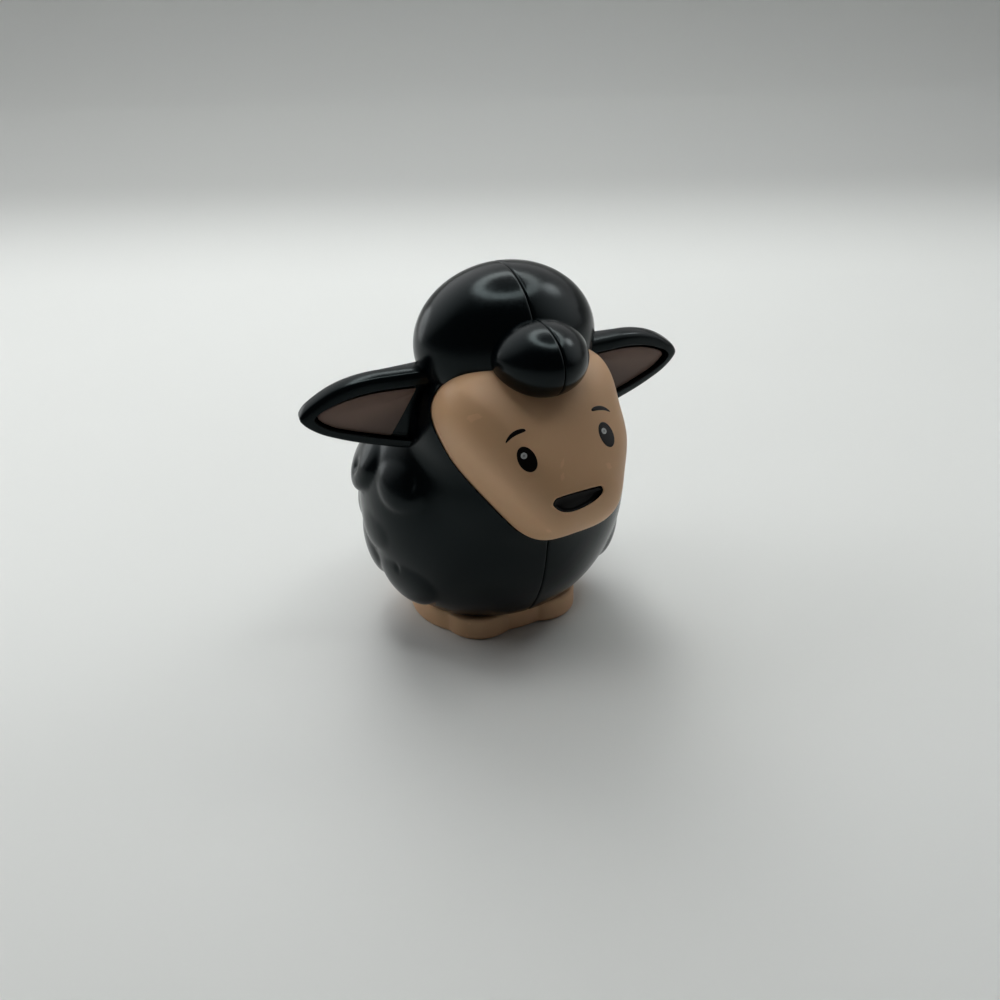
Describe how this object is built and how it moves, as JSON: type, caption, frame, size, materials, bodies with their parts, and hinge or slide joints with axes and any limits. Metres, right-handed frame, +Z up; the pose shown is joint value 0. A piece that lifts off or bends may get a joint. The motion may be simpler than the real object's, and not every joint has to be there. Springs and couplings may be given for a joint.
{
  "type": "toy sheep figure",
  "caption": "Small hard plastic toy sheep: round black woolly body with a domed cap and forelock, tan face and base, and flat ears held out to the sides.",
  "frame": {"origin": "on the floor, under the middle of the feet, on the plane where the two shell halves meet", "axes": "+Z up; the animal faces -Y; its right side is at -X and its left side at +X"},
  "size_m": [0.0652, 0.0543, 0.062],
  "materials": {
    "wool_black": "semi-gloss moulded plastic, cool black",
    "skin_tan": "satin moulded plastic, warm tan",
    "ear_lining": "satin paint, greyish pink-brown",
    "print_black": "glossy brown-black print",
    "glint_grey": "pale grey print"
  },
  "bodies": {
    "root": {"right_shell": "wool_black", "left_shell": "wool_black", "feet_base": "skin_tan", "face": "skin_tan", "right_ear": "wool_black", "left_ear": "wool_black", "right_ear_lining": "ear_lining", "left_ear_lining": "ear_lining", "right_eye": "print_black", "left_eye": "print_black", "right_brow": "print_black", "left_brow": "print_black", "mouth": "print_black", "right_eye_glint": "glint_grey", "left_eye_glint": "glint_grey"}
  },
  "joints": []
}
